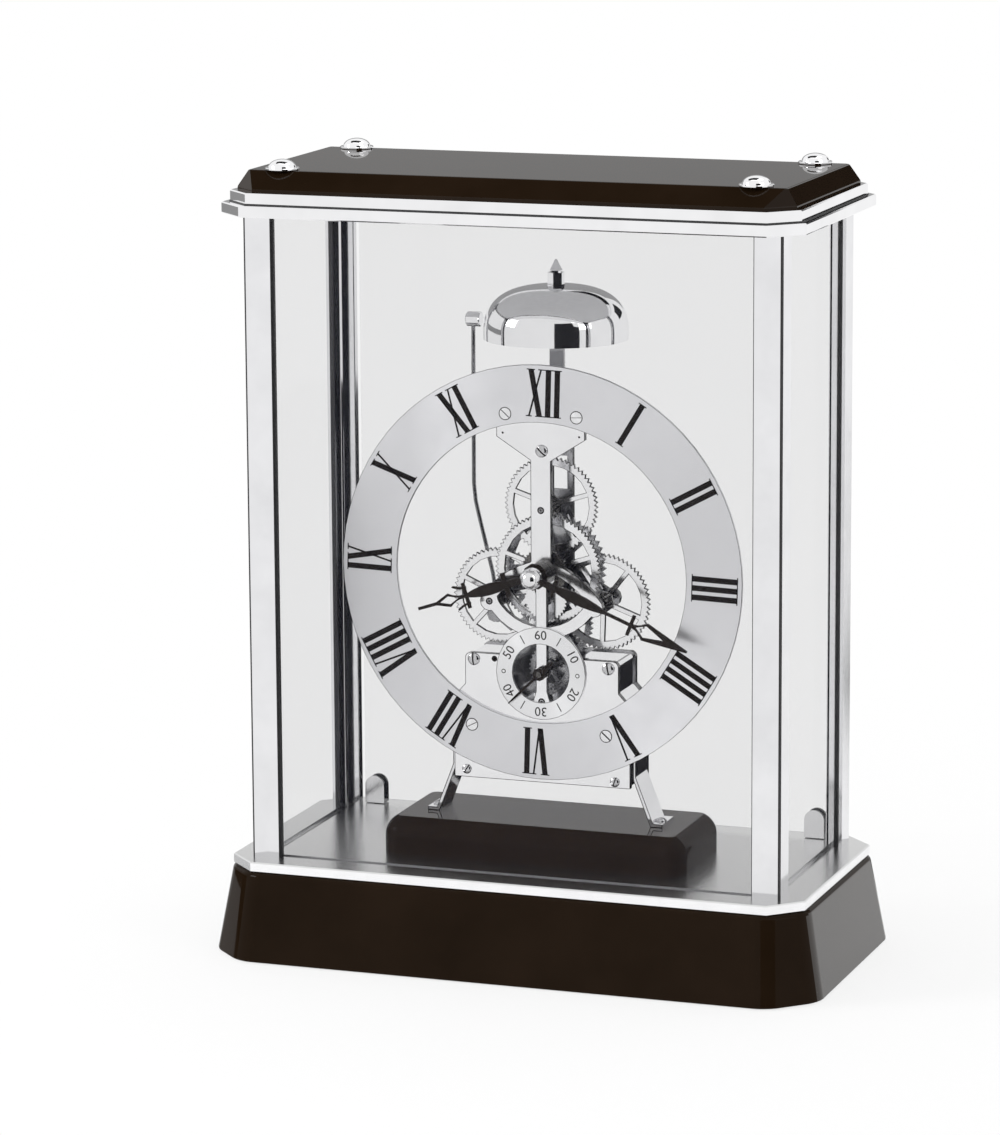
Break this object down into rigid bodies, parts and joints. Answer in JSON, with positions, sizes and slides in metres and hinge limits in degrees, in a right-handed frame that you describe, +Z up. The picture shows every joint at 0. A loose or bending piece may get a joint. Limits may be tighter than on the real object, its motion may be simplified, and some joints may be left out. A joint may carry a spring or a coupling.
{
  "type": "skeleton mantel clock",
  "caption": "Glass-cased mantel clock with a black lacquered base and top, corner posts, an open chapter ring over a visible wheel train, and a bell struck by a wire hammer.",
  "frame": {"origin": "centre of the footprint, on the surface that the clock stands on", "axes": "+Z up, +X to the right of a viewer who faces the dial, +Y from the dial to the rear door"},
  "size_m": [0.2122, 0.112, 0.2675],
  "materials": {
    "lacquer": "black gloss lacquer",
    "felt": "dark green felt",
    "brushed": "brushed",
    "polished": "polished plate",
    "silvered": "fine satin silver",
    "blackened": "black",
    "steel": "dark turned steel",
    "plastic": "moulded",
    "laminate": "board laminate",
    "pane": "clear flat glass"
  },
  "bodies": {
    "case": {"base_felt": "felt", "base_plinth": "lacquer", "base_plate": "brushed", "post_front_left": "polished", "post_front_right": "polished", "post_back_left": "polished", "post_back_right": "polished", "front_glass": "pane", "left_glass": "pane", "right_glass": "pane", "cornice_lower": "brushed", "cornice_upper": "brushed", "top_board": "lacquer", "top_screw_front_left": "polished", "top_screw_front_right": "polished", "top_screw_back_left": "polished", "top_screw_back_right": "polished", "movement_block": "lacquer", "left_leg": "polished", "right_leg": "polished", "lower_plate": "polished", "drive_housing": "steel", "battery": "plastic", "circuit_board": "laminate", "front_bridge": "polished", "back_plate": "polished", "drive_motor": "plastic", "chapter_ring": "silvered", "seconds_ring": "silvered", "bell": "polished", "bell_post": "polished", "bell_finial": "polished"},
    "rear_door": {"rear_glass": "pane", "door_clamp_lower": "polished", "door_clamp_upper": "polished", "door_clamp_free": "polished"},
    "minute_train": {"centre_arbor": "steel", "centre_wheel": "polished", "drive_wheel": "steel", "minute_hand": "blackened", "hand_cap": "polished"},
    "hour_train": {"hour_wheel": "steel", "hour_hand": "blackened"},
    "motion_wheel": {"minute_wheel": "polished"},
    "upper_display": {"upper_arbor": "steel", "upper_wheel": "polished"},
    "left_display": {"left_arbor": "steel", "left_wheel": "polished"},
    "right_display": {"right_arbor": "steel", "right_wheel": "polished"},
    "third_train": {"third_arbor": "steel", "third_wheel": "steel"},
    "seconds_train": {"seconds_arbor": "steel", "seconds_wheel": "steel", "seconds_hand": "blackened"},
    "hammer": {"hammer_lever": "steel", "hammer_head": "polished"}
  },
  "joints": [
    {"name": "minute_spin", "type": "hinge", "parent": "case", "child": "minute_train", "pos_m": [0, 0, 0.1298], "axis": [0, 1, 0], "continuous": true},
    {"name": "hour_spin", "type": "hinge", "parent": "case", "child": "hour_train", "pos_m": [0, 0, 0.1298], "axis": [0, 1, 0], "continuous": true},
    {"name": "motion_spin", "type": "hinge", "parent": "case", "child": "motion_wheel", "pos_m": [0, 0, 0.1202], "axis": [0, 1, 0], "continuous": true},
    {"name": "upper_spin", "type": "hinge", "parent": "case", "child": "upper_display", "pos_m": [0, 0, 0.15095], "axis": [0, 1, 0], "continuous": true},
    {"name": "left_spin", "type": "hinge", "parent": "case", "child": "left_display", "pos_m": [-0.01832, 0, 0.11922], "axis": [0, 1, 0], "continuous": true},
    {"name": "right_spin", "type": "hinge", "parent": "case", "child": "right_display", "pos_m": [0.01832, 0, 0.11922], "axis": [0, 1, 0], "continuous": true},
    {"name": "third_spin", "type": "hinge", "parent": "case", "child": "third_train", "pos_m": [0, 0, 0.11], "axis": [0, 1, 0], "continuous": true},
    {"name": "seconds_spin", "type": "hinge", "parent": "case", "child": "seconds_train", "pos_m": [0, 0, 0.0959], "axis": [0, 1, 0], "continuous": true},
    {"name": "hammer_swing", "type": "hinge", "parent": "case", "child": "hammer", "pos_m": [-0.022, 0, 0.1115], "axis": [0, 1, 0], "range_deg": [-8, 0], "stiffness_Nm_per_rad": 0.004, "springref_deg": 8.59},
    {"name": "door_swing", "type": "hinge", "parent": "case", "child": "rear_door", "pos_m": [-0.0799, 0.0428, 0.14155], "axis": [0, 0, 1], "range_deg": [0, 100]}
  ],
  "couplings": [
    {"joint": "hour_spin", "follows": "minute_spin", "ratio": 0.083333},
    {"joint": "motion_spin", "follows": "minute_spin", "ratio": -0.33333},
    {"joint": "upper_spin", "follows": "minute_spin", "ratio": -6},
    {"joint": "left_spin", "follows": "minute_spin", "ratio": -6},
    {"joint": "right_spin", "follows": "minute_spin", "ratio": -6},
    {"joint": "third_spin", "follows": "minute_spin", "ratio": -8},
    {"joint": "seconds_spin", "follows": "minute_spin", "ratio": 60}
  ]
}
